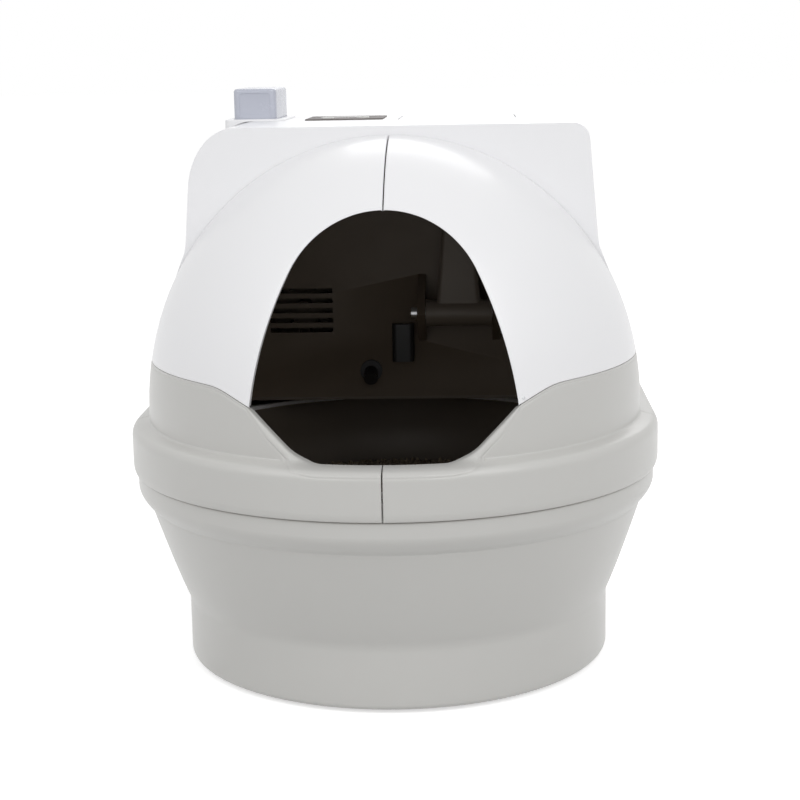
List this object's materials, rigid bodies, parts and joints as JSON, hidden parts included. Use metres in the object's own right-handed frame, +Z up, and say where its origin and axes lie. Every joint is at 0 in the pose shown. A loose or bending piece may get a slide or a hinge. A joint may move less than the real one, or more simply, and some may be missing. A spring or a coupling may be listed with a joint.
{
  "type": "self-cleaning litter box",
  "caption": "Round two-tone litter box with a turning wash bowl, a split hood with an arched entry, and a rear housing that scoops, washes and dries.",
  "frame": {"origin": "on the floor under the middle of the whole product", "axes": "+Z up, -Y towards the cat's entry, +X to the right seen from the front"},
  "size_m": [0.489, 0.622, 0.522],
  "materials": {
    "grey_shell": "warm grey, satin gloss",
    "white_shell": "white, satin gloss",
    "grey_bowl": "grey, satin",
    "dark_inner": "dark warm grey, matte",
    "black_plastic": "black, matte",
    "rubber": "black, matte",
    "steel": "brushed",
    "window": "dark, gloss",
    "strip": "grey, satin",
    "cartridge": "pale blue, translucent look",
    "granules": "tan, matte",
    "board": "green",
    "button": "light grey"
  },
  "bodies": {
    "base": {"base_tub": "grey_shell", "base_plate": "dark_inner", "rubber_feet": "rubber", "base_screws": "steel", "bowl_spindle": "steel", "spindle_washer": "steel", "bowl_drive_motor": "steel", "motor_bracket": "steel", "lower_housing": "grey_shell", "upper_housing": "white_shell", "rear_deck": "grey_bowl", "inner_fascia": "dark_inner", "arm_motor": "steel", "hopper": "dark_inner", "hopper_gasket": "rubber", "impeller_motor": "steel", "drain_pump": "black_plastic", "drain_outlet": "black_plastic", "water_inlet_valve": "black_plastic", "power_gland": "black_plastic", "blower_housing": "dark_inner", "blower_motor": "steel", "spray_nozzle": "black_plastic", "water_sensor": "black_plastic", "cartridge_dock": "white_shell", "dock_valve": "black_plastic", "dosing_pump": "black_plastic", "control_panel": "strip", "display_window": "window", "control_board": "board", "main_board": "board", "power_supply": "black_plastic", "lid_hinge_pins": "steel"},
    "bowl": {"wash_bowl": "grey_bowl", "bowl_ring_gear": "grey_bowl", "bowl_hub_bush": "steel", "litter_granules": "granules"},
    "pinion": {"bowl_pinion": "grey_bowl"},
    "scoop": {"arm_shaft": "steel", "scoop_arm": "grey_bowl", "scoop_rake": "grey_bowl"},
    "macerator": {"impeller": "dark_inner"},
    "dryer_fan": {"blower_fan": "dark_inner"},
    "cartridge": {"cartridge_shell": "cartridge", "cartridge_cap": "cartridge"},
    "hatch": {"hopper_lid": "white_shell"},
    "start_key": {"start_button": "button"},
    "lock_key": {"lock_button": "button"},
    "hood_left": {"hood_lower_left": "grey_shell", "hood_upper_left": "white_shell"},
    "hood_right": {"hood_lower_right": "grey_shell", "hood_upper_right": "white_shell"}
  },
  "joints": [
    {"name": "bowl_spin", "type": "hinge", "parent": "base", "child": "bowl", "pos_m": [0, -0.0665, 0.102], "axis": [0, 0, 1], "continuous": true},
    {"name": "bowl_pinion_spin", "type": "hinge", "parent": "base", "child": "pinion", "pos_m": [0, 0.1055, 0.09], "axis": [0, 0, 1], "continuous": true},
    {"name": "scoop_swing", "type": "hinge", "parent": "base", "child": "scoop", "pos_m": [0.06, 0.036, 0.302], "axis": [1, 0, 0], "range_deg": [0, 150]},
    {"name": "impeller_spin", "type": "hinge", "parent": "base", "child": "macerator", "pos_m": [0.06, 0.1255, 0.28], "axis": [0, 0, 1], "continuous": true},
    {"name": "blower_spin", "type": "hinge", "parent": "base", "child": "dryer_fan", "pos_m": [-0.1, 0.12, 0.3], "axis": [0, 1, 0], "continuous": true},
    {"name": "cartridge_lift", "type": "slide", "parent": "base", "child": "cartridge", "axis": [0, 0, 1], "range_m": [0, 0.12]},
    {"name": "hatch_hinge", "type": "hinge", "parent": "base", "child": "hatch", "pos_m": [0.06, 0.1785, 0.4865], "axis": [-1, 0, 0], "range_deg": [0, 105]},
    {"name": "start_press", "type": "slide", "parent": "base", "child": "start_key", "axis": [0, 0, -1], "range_m": [0, 0.0012], "stiffness_N_per_m": 300},
    {"name": "lock_press", "type": "slide", "parent": "base", "child": "lock_key", "axis": [0, 0, -1], "range_m": [0, 0.0012], "stiffness_N_per_m": 300},
    {"name": "hood_left_lift", "type": "slide", "parent": "base", "child": "hood_left", "axis": [0, 0, 1], "range_m": [0, 0.15]},
    {"name": "hood_right_lift", "type": "slide", "parent": "base", "child": "hood_right", "axis": [0, 0, 1], "range_m": [0, 0.15]}
  ],
  "couplings": [
    {"joint": "bowl_pinion_spin", "follows": "bowl_spin", "ratio": -6.1667}
  ]
}
